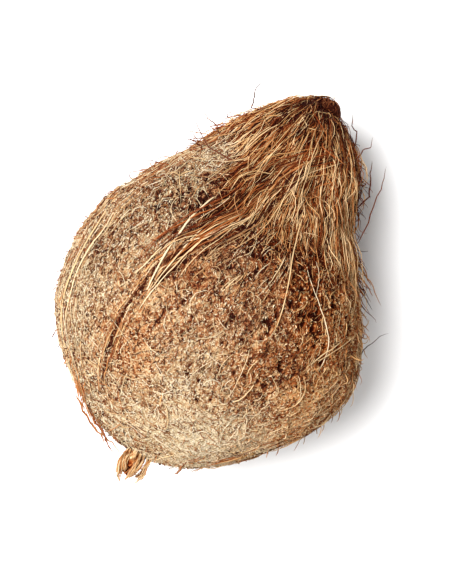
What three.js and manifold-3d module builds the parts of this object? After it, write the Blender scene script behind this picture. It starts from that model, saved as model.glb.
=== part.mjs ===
// A semi-husked coconut lying on its side: one grown piece, with its felted coir skin, the combed
// tuft of coir left over the stalk end, the dark stalk scar and a torn nib of husk at the base.
// Millimetres, +Z up, the tuft towards +X, standing on z = 0 under the middle of its own box.

import * as THREE from "three";
import { mergeVertices } from "three/addons/utils/BufferGeometryUtils.js";
import Module from "manifold-3d";

const wasm = await Module();
wasm.setup();

// Driving dimensions. The outline runs from the tip of the tuft to the pole of the base.
// Each point is the distance from the base along the nut's axis, and the radius there.
const OUTLINE = new THREE.SplineCurve([
  new THREE.Vector2(152.5, 0),
  new THREE.Vector2(149.5, 9.5),
  new THREE.Vector2(143, 17.5),
  new THREE.Vector2(133, 25.4),
  new THREE.Vector2(116, 33.6),
  new THREE.Vector2(98, 44.6),
  new THREE.Vector2(79, 55.6),
  new THREE.Vector2(60, 59.6),
  new THREE.Vector2(42, 56.1),
  new THREE.Vector2(25, 45),
  new THREE.Vector2(11, 29.4),
  new THREE.Vector2(2.5, 14),
  new THREE.Vector2(0, 0),
]);
const DROOP = THREE.MathUtils.degToRad(8); // the tuft end lies this much lower than the base
const FLAT_DEPTH = 2.2; // how much of the underside is pressed flat where the nut rests

// The nut isn't quite straight. Each bow shifts it towards +Y, most at its own distance from the
// base, and fades out over its width.
const BOWS = [
  { shift: 2.4, place: 98, width: 22 },
  { shift: 1.6, place: 28, width: 16 },
];

// The nut is three-sided: its ridges stand at this angle from the top, and a third of a turn apart.
const SIDES = 3;
const RIDGE_ANGLE = THREE.MathUtils.degToRad(20);
const RIDGE_SHARE = 0.018; // height of a ridge as a share of the radius
const RIDGE_HALF_WIDTH = THREE.MathUtils.degToRad(13);

// The skin's mesh: a lock of coir takes two columns, its crest and the valley beside it.
const LOCKS = 38;
const ROWS = 44;
const LOCK_RELIEF = 1.8; // half the height between a crest and a valley on the tuft
const SKIN_RELIEF = 0.25; // the same on the belly, where the coir is felted
const LUMP_RELIEF = 0.8; // half the height of the slow lumps all over
const FELT_RELIEF = 0.45; // half the height of the felt's roughness, from one vertex to the next
const TUFT_ENDS = [62, 104]; // distances from the base between which the tuft gives way to felt
const TUFT_TWIST = 0.5; // turn of the locks from the tip to the shoulder, in radians

// Loose strands stand off the skin with both or one end sunk in it.
const STRAND_ROOTS = [0.7, 1.15]; // bounds of the radius of a strand's three-sided section
const STRAND_TIP = 0.5;
const ROOT_SUNK = 3.5;
const TUFT_STRANDS = 46;
const SEAM_STRANDS = 4;

// The stalk scar and the torn nib of husk.
const SCAR_RADIUS = 6.3;
const SCAR_REACH = 3; // how far the scar stands out of the tuft's tip
const NIB_STRIPS = 7;
const NIB_LENGTH = 8.5;
const NIB_RADIUS = 3.6;
const NIB_MOUND = 5.4;
const STRIP_ROOTS = [1.6, 2.6];
const STRIP_TIP = 0.9;

// A seeded draw between two bounds, the same on every run.
THREE.MathUtils.seededRandom(17);
function draw(low, high) {
  return THREE.MathUtils.lerp(low, high, THREE.MathUtils.seededRandom());
}

const lockHeights = Array.from({ length: LOCKS }, () => draw(0.45, 1));
const roughness = Array.from({ length: 2 * LOCKS * (ROWS + 1) }, () => draw(-1, 1));

// How much of the tuft's combed coir covers the skin at a distance from the base.
function combed(along) {
  return THREE.MathUtils.smoothstep(along, ...TUFT_ENDS);
}

// 1 on the crest of a ridge, falling to 0 beside it.
function ridgeBand(angle) {
  const turn = (2 * Math.PI) / SIDES;
  const off = angle - RIDGE_ANGLE - turn * Math.round((angle - RIDGE_ANGLE) / turn);
  return Math.exp(-((off / RIDGE_HALF_WIDTH) ** 2));
}

// Slow lumps of the felted skin, from three crossing waves that close round the nut.
function lumps(along, angle) {
  const first = Math.sin(3 * angle + along / 9);
  const second = Math.sin(5 * angle - along / 6 + 2 * Math.sin(along / 17));
  const third = Math.sin(8 * angle + along / 4.5 + 1.3 * Math.sin(2 * angle));
  return (first + second + third) / 3;
}

// The locks: crests and valleys that follow the columns, high on the tuft and along the ridges.
function lockRelief(along, angle) {
  const lock = Math.round((angle / (2 * Math.PI)) * LOCKS + LOCKS) % LOCKS;
  const wave = Math.cos(LOCKS * angle) * lockHeights[lock];
  const ends = Math.sin(Math.PI * THREE.MathUtils.clamp(along / OUTLINE.points[0].x, 0, 1)) ** 0.3;
  const share = Math.max(combed(along), 0.6 * ridgeBand(angle));
  return ends * wave * THREE.MathUtils.lerp(SKIN_RELIEF, LOCK_RELIEF, share);
}

// How far the nut is bowed towards +Y at a distance from the base.
function bowed(along) {
  const fade = ({ place, width }) => Math.exp(-(((along - place) / width) ** 2));
  return BOWS.reduce((total, bow) => total + bow.shift * fade(bow), 0);
}

// A point at a share of the outline from the tip and at an angle from the top, lifted off the skin.
function skinPoint(share, angle, lift) {
  const { x: along, y: radius } = OUTLINE.getPointAt(share);
  const slope = OUTLINE.getTangentAt(share);
  const section = 1 + RIDGE_SHARE * Math.cos(SIDES * (angle - RIDGE_ANGLE));
  const out = radius * section - lift * slope.x;
  const across = bowed(along) + out * Math.sin(angle);
  return new THREE.Vector3(along + lift * slope.y, across, out * Math.cos(angle));
}

// The felt's roughness at a vertex of the skin: a row's last vertex is its first one over again.
function feltRelief(vertexIndex) {
  const columns = 2 * LOCKS;
  const row = Math.floor(vertexIndex / (columns + 1));
  const column = vertexIndex % (columns + 1) % columns;
  return FELT_RELIEF * roughness[row * columns + column];
}

// The skin is a sphere's mesh with each vertex moved to its own place on the nut.
function skinGeometry() {
  const skin = new THREE.SphereGeometry(1, 2 * LOCKS, ROWS);
  const place = skin.attributes.position;
  const vertex = new THREE.Vector3();
  for (let i = 0; i < place.count; i += 1) {
    vertex.fromBufferAttribute(place, i);
    const share = Math.acos(THREE.MathUtils.clamp(vertex.y, -1, 1)) / Math.PI;
    const angle = Math.atan2(-vertex.x, vertex.z);
    const along = OUTLINE.getPointAt(share).x;
    const twist = TUFT_TWIST * combed(along);
    const fade = Math.sin(Math.PI * share) ** 0.5;
    const slow = LUMP_RELIEF * lumps(along, angle + twist);
    const lift = fade * (slow + lockRelief(along, angle) + feltRelief(i));
    vertex.copy(skinPoint(share, angle - twist, lift));
    place.setXYZ(i, vertex.x, vertex.y, vertex.z);
  }
  return skin;
}

// A tapered rod bent along a curve: a closed cylinder's mesh with each vertex moved to the curve.
function bentRod(curve, rootRadius, tipRadius, sides, steps) {
  const rod = new THREE.CylinderGeometry(tipRadius, rootRadius, 1, sides, steps);
  const place = rod.attributes.position;
  const frames = curve.computeFrenetFrames(steps);
  const vertex = new THREE.Vector3();
  for (let i = 0; i < place.count; i += 1) {
    vertex.fromBufferAttribute(place, i);
    const step = Math.round((vertex.y + 0.5) * steps);
    const point = curve.getPointAt(step / steps);
    point.addScaledVector(frames.binormals[step], vertex.x);
    point.addScaledVector(frames.normals[step], vertex.z);
    place.setXYZ(i, point.x, point.y, point.z);
  }
  return rod;
}

// A loose strand over the skin: lifts are its heights above the skin from the root to the far end.
function strand(fromShare, toShare, fromAngle, toAngle, lifts) {
  const points = lifts.map((lift, i) => {
    const part = i / (lifts.length - 1);
    const share = THREE.MathUtils.lerp(fromShare, toShare, part);
    const angle = THREE.MathUtils.lerp(fromAngle, toAngle, part);
    return skinPoint(share, angle, lift);
  });
  const curve = new THREE.CatmullRomCurve3(points);
  return bentRod(curve, draw(...STRAND_ROOTS), STRAND_TIP, 3, 6);
}

// Strands that escape from the tuft all round it, more or less along its locks.
function tuftStrands() {
  return Array.from({ length: TUFT_STRANDS }, (_, i) => {
    const start = draw(0.03, 0.26);
    const length = draw(0.1, 0.22);
    const angle = ((i + draw(-0.3, 0.3)) / TUFT_STRANDS) * 2 * Math.PI;
    const lifts = [-ROOT_SUNK, draw(1.6, 2.4), draw(1.8, 3), draw(1.4, 4.5)];
    return strand(start, start + length, angle, angle + draw(0.02, 0.4), lifts);
  });
}

// Long pale strands that lie along the upper ridge, sunk at both ends.
function seamStrands() {
  return Array.from({ length: SEAM_STRANDS }, (_, i) => {
    const start = 0.3 + 0.035 * i;
    const angle = RIDGE_ANGLE + (i - 1.5) * 0.09;
    const lifts = [-ROOT_SUNK, 2.2, 2.5, 2.3, 2.1, -ROOT_SUNK];
    return strand(start, start + draw(0.24, 0.3), angle - 0.2, angle + 0.05, lifts);
  });
}

// The torn nib: stiff strips of husk in a loose ring round the base pole, curling outwards.
function nibStrips() {
  return Array.from({ length: NIB_STRIPS }, (_, i) => {
    const angle = ((i + draw(-0.25, 0.25)) / NIB_STRIPS) * 2 * Math.PI;
    const length = NIB_LENGTH * draw(0.5, 1);
    const flare = NIB_RADIUS * draw(0.8, 2.1);
    const across = new THREE.Vector3(0, Math.sin(angle), Math.cos(angle));
    const root = across.clone().multiplyScalar(NIB_RADIUS).setX(ROOT_SUNK);
    const middle = across.clone().multiplyScalar(NIB_RADIUS * 0.9).setX(-length * 0.45);
    const tip = across.clone().multiplyScalar(flare).setX(-length);
    const curve = new THREE.QuadraticBezierCurve3(root, middle, tip);
    return bentRod(curve, draw(...STRIP_ROOTS), STRIP_TIP, 4, 3);
  });
}

// The mound of husk that the nib's strips stand on.
function nibMound() {
  return new THREE.SphereGeometry(NIB_MOUND, 12, 8).scale(0.7, 1, 1);
}

// The rounded scar where the stalk came away, a little to one side of the tuft's tip.
function stalkScar() {
  const scar = new THREE.SphereGeometry(SCAR_RADIUS, 14, 8);
  return scar.translate(OUTLINE.points[0].x + SCAR_REACH - SCAR_RADIUS, -2, 0.5);
}

// The geometry as a closed solid, with the vertices that its faces share merged.
function solidOf(geometry) {
  geometry.deleteAttribute("normal");
  geometry.deleteAttribute("uv");
  const merged = mergeVertices(geometry);
  const mesh = new wasm.Mesh({
    numProp: 3,
    vertProperties: merged.attributes.position.array,
    triVerts: new Uint32Array(merged.index.array),
  });
  return new wasm.Manifold(mesh);
}

// The solid's surface as a geometry.
function geometryOf(solid) {
  const mesh = solid.getMesh();
  const geometry = new THREE.BufferGeometry();
  geometry.setAttribute("position", new THREE.BufferAttribute(mesh.vertProperties, 3));
  geometry.setIndex(new THREE.BufferAttribute(mesh.triVerts, 1));
  geometry.computeVertexNormals();
  return geometry;
}

// Everything fused, laid down with its droop, pressed flat below, and set over the origin.
function coconutGeometry() {
  const strands = [...tuftStrands(), ...seamStrands()];
  const grown = [...strands, ...nibStrips(), nibMound(), stalkScar()];
  const fused = grown.reduce((whole, piece) => whole.add(solidOf(piece)), solidOf(skinGeometry()));
  const lying = geometryOf(fused).rotateY(DROOP);
  lying.computeBoundingBox();
  const { min, max } = lying.boundingBox;
  const size = max.clone().sub(min);
  lying.translate(0, 0, -min.z - FLAT_DEPTH);
  const ground = new THREE.BoxGeometry(2 * size.x, 2 * size.y, size.z);
  ground.translate(min.x + size.x / 2, min.y + size.y / 2, -size.z / 2);
  const resting = geometryOf(solidOf(lying).subtract(solidOf(ground)));
  resting.computeBoundingBox();
  const middle = resting.boundingBox.getCenter(new THREE.Vector3());
  return resting.translate(-middle.x, -middle.y, 0);
}

const coir = new THREE.MeshStandardMaterial({ color: 0xb98a5c, roughness: 0.95, metalness: 0 });
const coconut = new THREE.Mesh(coconutGeometry(), coir);
coconut.name = "coconut";

const part = new THREE.Group();
part.add(coconut);

export default part;
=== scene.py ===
import math

import bmesh
import bpy
import numpy as np
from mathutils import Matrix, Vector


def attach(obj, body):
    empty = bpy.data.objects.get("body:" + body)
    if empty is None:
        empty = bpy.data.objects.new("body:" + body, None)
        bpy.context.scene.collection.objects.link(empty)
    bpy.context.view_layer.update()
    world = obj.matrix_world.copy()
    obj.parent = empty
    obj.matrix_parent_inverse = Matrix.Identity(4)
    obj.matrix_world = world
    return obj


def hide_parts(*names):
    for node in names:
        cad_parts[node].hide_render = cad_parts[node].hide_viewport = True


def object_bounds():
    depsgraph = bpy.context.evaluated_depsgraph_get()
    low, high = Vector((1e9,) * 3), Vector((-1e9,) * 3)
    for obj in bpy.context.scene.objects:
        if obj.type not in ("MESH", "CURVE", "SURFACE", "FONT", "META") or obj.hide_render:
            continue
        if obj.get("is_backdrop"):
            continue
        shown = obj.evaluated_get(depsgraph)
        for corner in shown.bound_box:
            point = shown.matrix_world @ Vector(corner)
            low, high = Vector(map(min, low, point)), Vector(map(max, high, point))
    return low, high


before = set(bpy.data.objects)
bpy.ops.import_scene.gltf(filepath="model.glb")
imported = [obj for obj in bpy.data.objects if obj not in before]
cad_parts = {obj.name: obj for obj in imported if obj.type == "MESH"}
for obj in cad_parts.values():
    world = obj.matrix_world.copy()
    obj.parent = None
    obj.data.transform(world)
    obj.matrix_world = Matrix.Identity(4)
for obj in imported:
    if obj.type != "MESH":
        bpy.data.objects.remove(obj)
cad_low, cad_high = (np.array(corner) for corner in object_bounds())

# ---- The felted skin: its form --------------------------------------------------------------
# A coconut with most of its husk torn off, lying on its side: a round belly, a neck of coir
# left over the stalk end, and three low ridges, where the husk's seams ran. It droops a little
# to its tuft, bows a little to one side, and presses a small flat into the coir below.
MM = 0.001
OUTLINE = [  # distance from the base along the nut's axis, and the radius there
    (152.5, 0), (149.5, 9.5), (143, 17.5), (133, 25.4), (116, 33.6), (98, 44.6), (79, 55.6),
    (60, 59.6), (42, 56.1), (25, 45), (11, 29.4), (2.5, 14), (0, 0),
]
DROOP = math.radians(8)
BOWS = [(2.4, 98, 22), (1.6, 28, 16)]  # each bow's shift towards +Y, its place and its width
FLAT_DEPTH = 2.2 * MM
RIDGES = 3
RIDGE_ANGLE = math.radians(20)
RIDGE_SHARE = 0.018
SCAR_RADIUS = 6.3 * MM
SCAR_PLACE = np.array([149.2, -2, 0.5]) * MM
WIDEST = 60 * MM  # distance from the base to the widest section
LOWEST = 54 * MM  # and to the section that rests on the table


def curve_through(knots, steps):
    """A smooth Catmull-Rom curve through the knots, with this many points on each span."""
    knots = np.array([knots[0], *knots, knots[-1]], dtype=float)
    step = np.linspace(0, 1, steps, endpoint=False)[:, None]
    spans = []
    for before, start, end, after in zip(knots, knots[1:], knots[2:], knots[3:]):
        leave = (end - before) / 2
        arrive = (after - start) / 2
        cubic = (2 * start - 2 * end + leave + arrive) * step**3
        square = (3 * end - 3 * start - 2 * leave - arrive) * step**2
        spans.append(cubic + square + leave * step + start)
    return np.concatenate([*spans, knots[-1:]])


outline = curve_through(np.array(OUTLINE) * MM, 60)
lengths = np.linalg.norm(np.diff(outline, axis=0), axis=1)
outline_length = lengths.sum()
outline_share = np.concatenate([[0], np.cumsum(lengths)]) / outline_length
outline_slope = np.gradient(outline, outline_share, axis=0)
outline_slope /= np.linalg.norm(outline_slope, axis=1)[:, None]
lay_down = np.array([
    [math.cos(DROOP), 0, math.sin(DROOP)],
    [0, 1, 0],
    [-math.sin(DROOP), 0, math.cos(DROOP)],
])


def along_at(share):
    """Distance from the base along the axis, at a share of the outline from the tip."""
    return np.interp(share, outline_share, outline[:, 0])


def radius_at(share):
    return np.interp(share, outline_share, outline[:, 1])


def share_at(along):
    return np.interp(along, outline[::-1, 0], outline_share[::-1])


def nut_point(share, angle, lift):
    """A point of the nut at a share of its outline and an angle from the top, lifted off it."""
    slope_along = np.interp(share, outline_share, outline_slope[:, 0])
    slope_out = np.interp(share, outline_share, outline_slope[:, 1])
    section = 1 + RIDGE_SHARE * np.cos(RIDGES * (angle - RIDGE_ANGLE))
    out = radius_at(share) * section - lift * slope_along
    along = along_at(share)
    bow = sum(shift * np.exp(-(((along / MM - at) / width) ** 2)) for shift, at, width in BOWS)
    across = bow * MM + out * np.sin(angle)
    return np.stack([along + lift * slope_out, across, out * np.cos(angle)], axis=-1)


scar_end = lay_down @ SCAR_PLACE + np.array([SCAR_RADIUS, 0, 0])
sides = [lay_down @ nut_point(share_at(WIDEST), angle, 0) for angle in (-math.pi / 2, math.pi / 2)]
under = lay_down @ nut_point(share_at(LOWEST), math.pi, 0)
nut_origin = np.array([
    cad_high[0] - scar_end[0],
    (cad_low[1] + cad_high[1]) / 2 - (sides[0][1] + sides[1][1]) / 2,
    -under[2] - FLAT_DEPTH,
])


def place(points, clearance=0):
    """Points of the nut's own frame laid down in the part's frame, none below the table."""
    laid = points @ lay_down.T + nut_origin
    laid[..., 2] = np.maximum(laid[..., 2], clearance)
    return laid


# ---- The felted skin: how its coir lies -----------------------------------------------------
# Three kinds of coir cover the nut. Long fibre is left on the tuft, and fans out from the tip.
# Short felt covers the belly, pitted where it is worn. A groove runs down each of the ridges,
# where the husk's seam tore, and a shorter crack lies beside the upper one.
TUFT_EDGE = [  # angle from the top in degrees, and the distance from the base to the tuft's edge
    (-180, 98), (-120, 92), (-75, 89), (-40, 93), (0, 90), (15, 92), (28, 106), (42, 117),
    (60, 122), (78, 117), (98, 110), (120, 106), (150, 102), (180, 98),
]
TUFT_EDGE_SOFTNESS = 10
FAN = [  # angle of a fibre at the tip in degrees, and how far it has turned by the shoulder
    (-180, 0), (-135, -10), (-90, -20), (-60, -25), (-40, -25), (-25, -20), (-12, -10), (0, -3),
    (10, 3), (20, 6), (40, 2), (66, 0), (180, 0),
]
FAN_ENDS = (80, 145)
UPPER_SEAM = [(12, 44), (19, 38), (28, 33), (39, 30), (49, 27), (60, 25)]
UPPER_SEAM_HEAD = [(52, 22), (64, 20), (71, 18), (78, 17), (87, 16), (93, 13), (100, 9)]
HIDDEN_SEAM = [(16, 150), (45, 142), (70, 137), (96, 141)]
LOWER_SEAM = [(14, -90), (40, -97), (66, -103), (93, -98)]
CRACK = [(36, 18), (42, 16), (47, 14), (51, 13)]
GROOVES = [  # the route as distances from the base and angles, the half width and the depth
    (UPPER_SEAM, 0.36, 1.4), (UPPER_SEAM_HEAD, 1.8, 1.8), (HIDDEN_SEAM, 1.0, 1.4),
    (LOWER_SEAM, 1.0, 1.4), (CRACK, 0.7, 1.0),
]
GROOVE_FADE = 6  # how far from its ends a groove has its full depth


def smooth_step(value, low, high):
    part = np.clip((value - low) / (high - low), 0, 1)
    return part * part * (3 - 2 * part)


def half_turn(degrees):
    """The same angle between -180 and 180 degrees."""
    return (degrees + 180) % 360 - 180


def noise(points, seed):
    """Smooth noise from -1 to 1, with one bump for about every unit of length.

    The large odd numbers turn the place of a cell's corner into a value with no pattern.
    """
    cell = np.floor(points).astype(np.int64)
    part = points - cell
    part = part * part * (3 - 2 * part)
    total = np.zeros(points.shape[:-1])
    for corner in np.ndindex(2, 2, 2):
        key = (cell + np.array(corner)) @ np.array([73856093, 19349663, 83492791]) + seed * 9973
        key = (key ^ (key >> 13)) * 1274126177 & 0x7FFFFFFF
        key = (key ^ (key >> 15)) * 668265263 & 0x7FFFFFFF
        value = (key % 65536) / 32767.5 - 1
        weight = np.prod(np.where(corner, part, 1 - part), axis=-1)
        total += weight * value
    return total


def tuft_edge(angle):
    """Distance from the base to the edge of the tuft, in mm."""
    edge_angles, edges = zip(*TUFT_EDGE)
    return np.interp(half_turn(np.degrees(angle)), edge_angles, edges)


def combed(share, angle):
    """1 where long fibre covers the nut, falling to 0 where there is only felt."""
    edge = tuft_edge(angle)
    along = along_at(share) / MM
    return smooth_step(along, edge - TUFT_EDGE_SOFTNESS, edge + TUFT_EDGE_SOFTNESS)


def fan_turn(share, line):
    """How far a fibre that leaves the tip at this angle has turned by this share."""
    tip_angles, turns = zip(*FAN)
    turn = np.interp(half_turn(np.degrees(line)), tip_angles, turns)
    done = 1 - np.clip((along_at(share) / MM - FAN_ENDS[0]) / (FAN_ENDS[1] - FAN_ENDS[0]), 0, 1)
    return np.radians(turn) * done


def line_at(share, angle):
    """The angle at the tip of the fibre that passes through a place."""
    line = angle
    for _ in range(3):
        line = angle - fan_turn(share, line)
    return line


def groove(share, angle):
    """How deep the seams and the crack are at a place."""
    along = along_at(share) / MM
    depth = np.zeros(np.broadcast(share, angle).shape)
    wobble = 0.6 * np.sin(along / 2.3) * np.sin(along / 5.1) + 0.3 * np.sin(along / 0.9)  # degrees
    for route, half_width, full_depth in GROOVES:
        route_along, route_angle = np.array(route, dtype=float).T
        off = half_turn(np.degrees(angle) - np.interp(along, route_along, route_angle) - wobble)
        away = np.radians(off) * radius_at(share) / MM
        ends = smooth_step(along, route_along[0], route_along[0] + GROOVE_FADE)
        ends = ends * (1 - smooth_step(along, route_along[-1] - GROOVE_FADE, route_along[-1]))
        depth = np.maximum(depth, full_depth * MM * ends * np.exp(-((away / half_width) ** 2)))
    return depth


# Where the coir is darker or lighter, greyer or redder, or more worn than elsewhere, and where
# shade or light is painted on it: the place by its distance from the base in mm and its angle in
# degrees, its half sizes, and the changes. The patches named for shade are painted shade.
PATCHES = [
    ("weathered shoulder", 91, 36, 15, 16, 0.06, 0.25, 1.2),
    ("weathered shoulder's foot", 78, 56, 16, 22, 0.1, 0.2, 0.6),
    ("wet patch", 80, -36, 14, 18, -0.13, -0.8, 0.9),
    ("shade below the band", 84, -8, 8, 10, -0.2, -0.4, 0.7),
    ("fringe", 101, -18, 10, 24, 0.13, 0.2, 0),
    ("wet patch's edge", 66, -50, 22, 22, -0.02, -0.7, 0.5),
    ("golden patch", 32, 26, 13, 11, -0.05, -0.4, 0),
    ("pale side", 46, 72, 32, 30, -0.06, 0.3, -0.4),
    # Partly painted light: pale coir, also lightened where it faces away from the light.
    ("pale base with painted light", 12, -62, 14, 64, 0.4, 0.2, -0.3),
    ("upper side of the base", 4, 40, 8, 60, 0.14, 0.2, -0.1),
    ("tan patch", 16, 20, 7, 16, -0.1, 0, 0),
    # Painted light: the lower edge of the base is lightened where the light misses it.
    ("painted light on the lower edge of the base", 22, -80, 13, 20, 0.2, 0, 0),
    ("worn middle", 68, -12, 15, 16, -0.12, -0.1, 0.5),
    ("worn lower belly", 43, -30, 12, 14, -0.12, -0.3, 0.3),
    ("pale middle", 34, -6, 10, 12, 0.09, 0.1, 0),
    ("shade beside the straws", 62, 11, 9, 8, -0.16, -0.2, 0.3),
    ("stained shoulder", 58, 49, 10, 13, -0.11, 0, 0.2),
    ("dark crown", 130, 36, 9, 24, -0.28, 0, 0),
    # Partly painted light: redder coir, also lightened on the side that faces away from the light.
    ("lower flank with painted light", 34, -68, 24, 28, 0.2, -0.6, 0.1),
    ("ridge's shade", 88, 14, 17, 13, -0.42, -0.2, 0.5),
    ("pale neck", 112, 43, 12, 15, 0.29, 0.5, 0),
    ("pale lock", 118, -6, 8, 14, 0.14, 0, 0),
    # Partly painted light: redder coir, also lightened on the side in shade.
    ("red flank with painted light", 92, -78, 40, 26, 0.28, -0.7, 0.1),
    ("stalk's shade", 147, -20, 8, 60, -0.32, 0.3, 0),
    ("tip's shade", 150, 0, 8, 360, -0.25, 0, 0),
    ("hidden wet patch", 70, 175, 22, 36, -0.14, -0.1, 0.6),
    ("hidden weathered patch", 92, -150, 14, 26, -0.12, 0.5, 0.8),
]
BELLY_TONE = 0.73
TUFT_TONE = 0.47
BELLY_GREYNESS = 0.8
TUFT_GREYNESS = -0.2
BELLY_WEAR = -0.15
HIDDEN_WEAR = 0.5  # share of the wear that long fibre hides
PIT_DEPTH = 1.2 * MM
# Painted shade: the pits of the felt are darkened.
PIT_PAINTED_SHADE = -0.75
PIT_STRETCH = np.array([0.6, 1, 1])  # under 1 along the nut, so that the pits are long
PIT_GRAIN = [(1.2 * MM, 1, 14), (3 * MM, 0.5, 15)]  # the size, strength and seed of each noise
PIT_WEAR = 0.55
PIT_EDGES = (0.62, 0.95)
GROOVE_PAINTED_SHADE = -0.6  # painted shade in the seams and the crack, for each mm of depth
MOTTLING = [(17 * MM, 0.06, 11), (5 * MM, 0.09, 12)]
GREY_MOTTLING = [(11 * MM, 0.22, 13)]


def weather(share, angle):
    """The tone, the greyness and the wear of the coir at a place on the nut, with the painted
    shade and light of some patches.
    """
    comb = combed(share, angle)
    tone = BELLY_TONE + (TUFT_TONE - BELLY_TONE) * comb
    greyness = BELLY_GREYNESS + (TUFT_GREYNESS - BELLY_GREYNESS) * comb
    wear = BELLY_WEAR * np.ones(comb.shape)
    along = along_at(share) / MM
    degrees = np.degrees(angle)
    for _, patch_along, patch_angle, half_along, half_angle, *changes in PATCHES:
        turn = half_turn(degrees - patch_angle)
        near = np.exp(-(((along - patch_along) / half_along) ** 2) - (turn / half_angle) ** 2)
        tone = tone + changes[0] * near
        greyness = greyness + changes[1] * near
        wear = wear + changes[2] * near
    return tone, greyness, wear * (1 - HIDDEN_WEAR * comb)


def grain(places, noises):
    """Several noises added up, each given by its size, its strength and its seed."""
    return sum(strength * noise(places / size, seed) for size, strength, seed in noises)


def pits(share, angle):
    """Pits in the felt, from 0 to 1, rare where it is whole and thick where it is worn."""
    rough = grain(nut_point(share, angle, 0) * PIT_STRETCH, PIT_GRAIN)
    return smooth_step(rough + PIT_WEAR * weather(share, angle)[2], *PIT_EDGES)


def colouring(share, angle):
    """The tone and the greyness of the coir at a place, with its mottling, and painted shade in
    its pits and grooves.
    """
    tone, greyness, _ = weather(share, angle)
    places = nut_point(share, angle, 0)
    tone = tone + grain(places, MOTTLING) + PIT_PAINTED_SHADE * pits(share, angle)
    tone = tone + GROOVE_PAINTED_SHADE * groove(share, angle) / MM
    return tone, greyness + grain(places, GREY_MOTTLING)


LUMP_RELIEF = 0.8 * MM
LUMP_TWIST = 1.0
LUMP_TWIST_ENDS = (62, 104)
LOCK_LENGTH = 26 * MM
LOCK_RELIEF = [  # each size of lock: its ring's radius in bumps of noise, height in mm, seed
    (4, 1.3, 1), (11, 0.7, 2), (26, 0.3, 3),
]
FELT_GRAIN = [(5 * MM, 0.5 * MM, 4), (2.1 * MM, 0.4 * MM, 5)]
FELT_UNDER_TUFT = 0.4  # share of the felt's relief that is left under long fibre
FELT_BED = -0.5 * MM
TUFT_BED = -1.3 * MM
SCAR_SWELL = 3.6 * MM
SCAR_SWELL_ENDS = (0.05, 0.01)


def relief(share, angle):
    """How far the skin stands off the form: slow lumps, locks, felt, pits and grooves."""
    along = along_at(share) / MM
    turned = angle + LUMP_TWIST * smooth_step(along, *LUMP_TWIST_ENDS)
    lumps = np.sin(3 * turned + along / 9)
    lumps = lumps + np.sin(5 * turned - along / 6 + 2 * np.sin(along / 17))
    lumps = lumps + np.sin(8 * turned + along / 4.5 + 1.3 * np.sin(2 * turned))
    comb = combed(share, angle)
    line = line_at(share, angle)
    rows = share * outline_length / LOCK_LENGTH
    locks = np.zeros(comb.shape)
    for around, height, seed in LOCK_RELIEF:
        strip = np.stack([around * np.cos(line), around * np.sin(line), rows], axis=-1)
        locks = locks + height * MM * (0.5 - np.abs(noise(strip, seed)) * 2)
    felt = grain(nut_point(share, angle, 0), FELT_GRAIN) - PIT_DEPTH * pits(share, angle)
    felt = felt * (1 - (1 - FELT_UNDER_TUFT) * comb)
    fade = np.sin(math.pi * np.clip(share, 0, 1)) ** 0.5
    height = fade * (LUMP_RELIEF * lumps / 3 + comb * locks + felt)
    height = height + SCAR_SWELL * smooth_step(share, *SCAR_SWELL_ENDS) - groove(share, angle)
    return height + FELT_BED + (TUFT_BED - FELT_BED) * comb


# ---- The felted skin: its mesh and its colour -----------------------------------------------
# The mat of short fibre and pith that covers the shell. Torn off the husk, it is pitted and
# matted on the belly and runs in locks on the tuft. The loose fibres lie on it and root in it.
# Coir runs from red-brown to pale straw where it is rubbed. The near-black in the pits and
# grooves, and the skin's darkness under the fibres, are painted shade.
SKIN_COLUMNS = 352
SKIN_ROWS = 188
# Painted shade: the skin is darker than the fibres that lie on it.
SKIN_SHADE = -0.2
TUFT_SHADE = -0.25  # painted shade: the skin is darker still under the tuft's long fibre
RELIEF_PAINTED_LIGHT_AND_SHADE = 0.1  # painted light and shade: the skin is lighter for each mm that it stands off the form, and darker where it sinks
SKIN_GRAIN = [(1400, 0.7), (620, 0.5), (200, 0.15)]  # each noise's bumps in a metre, and strength
BUMP_DEPTH = 0.8 * MM
STOPS = (0, 0.15, 0.3, 0.45, 0.6, 0.75, 0.9, 1)  # the tones that these colours stand for
RED = [
    (0.026, 0.003, 0.001), (0.091, 0.013, 0.002), (0.200, 0.041, 0.008), (0.312, 0.093, 0.022),
    (0.412, 0.165, 0.052), (0.490, 0.266, 0.102), (0.594, 0.370, 0.166), (0.700, 0.470, 0.250),
]
GREY = [
    (0.022, 0.004, 0.002), (0.084, 0.020, 0.008), (0.166, 0.058, 0.023), (0.246, 0.126, 0.057),
    (0.330, 0.212, 0.109), (0.412, 0.305, 0.176), (0.512, 0.415, 0.264), (0.618, 0.519, 0.372),
]


def coir_colours():
    """A node group that turns tone and greyness into the colour of coir."""
    group = bpy.data.node_groups.new("coir_colours", "ShaderNodeTree")
    group.interface.new_socket("Tone", in_out="INPUT", socket_type="NodeSocketFloat")
    group.interface.new_socket("Greyness", in_out="INPUT", socket_type="NodeSocketFloat")
    group.interface.new_socket("Colour", in_out="OUTPUT", socket_type="NodeSocketColor")
    given = group.nodes.new("NodeGroupInput")
    result = group.nodes.new("NodeGroupOutput")
    mix = group.nodes.new("ShaderNodeMix")
    mix.data_type = "RGBA"
    group.links.new(given.outputs["Greyness"], mix.inputs["Factor"])
    for colours, socket in ((RED, "A"), (GREY, "B")):
        ramp = group.nodes.new("ShaderNodeValToRGB")
        elements = ramp.color_ramp.elements
        for _ in STOPS[2:]:
            elements.new(0.5)
        for element, position, colour in zip(elements, STOPS, colours):
            element.position = position
            element.color = (*colour, 1)
        group.links.new(given.outputs["Tone"], ramp.inputs["Fac"])
        target = next(s for s in mix.inputs if s.name == socket and s.type == "RGBA")
        group.links.new(ramp.outputs["Color"], target)
    mixed = next(s for s in mix.outputs if s.type == "RGBA")
    group.links.new(mixed, result.inputs["Colour"])
    return group


colour_group = coir_colours()


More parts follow.
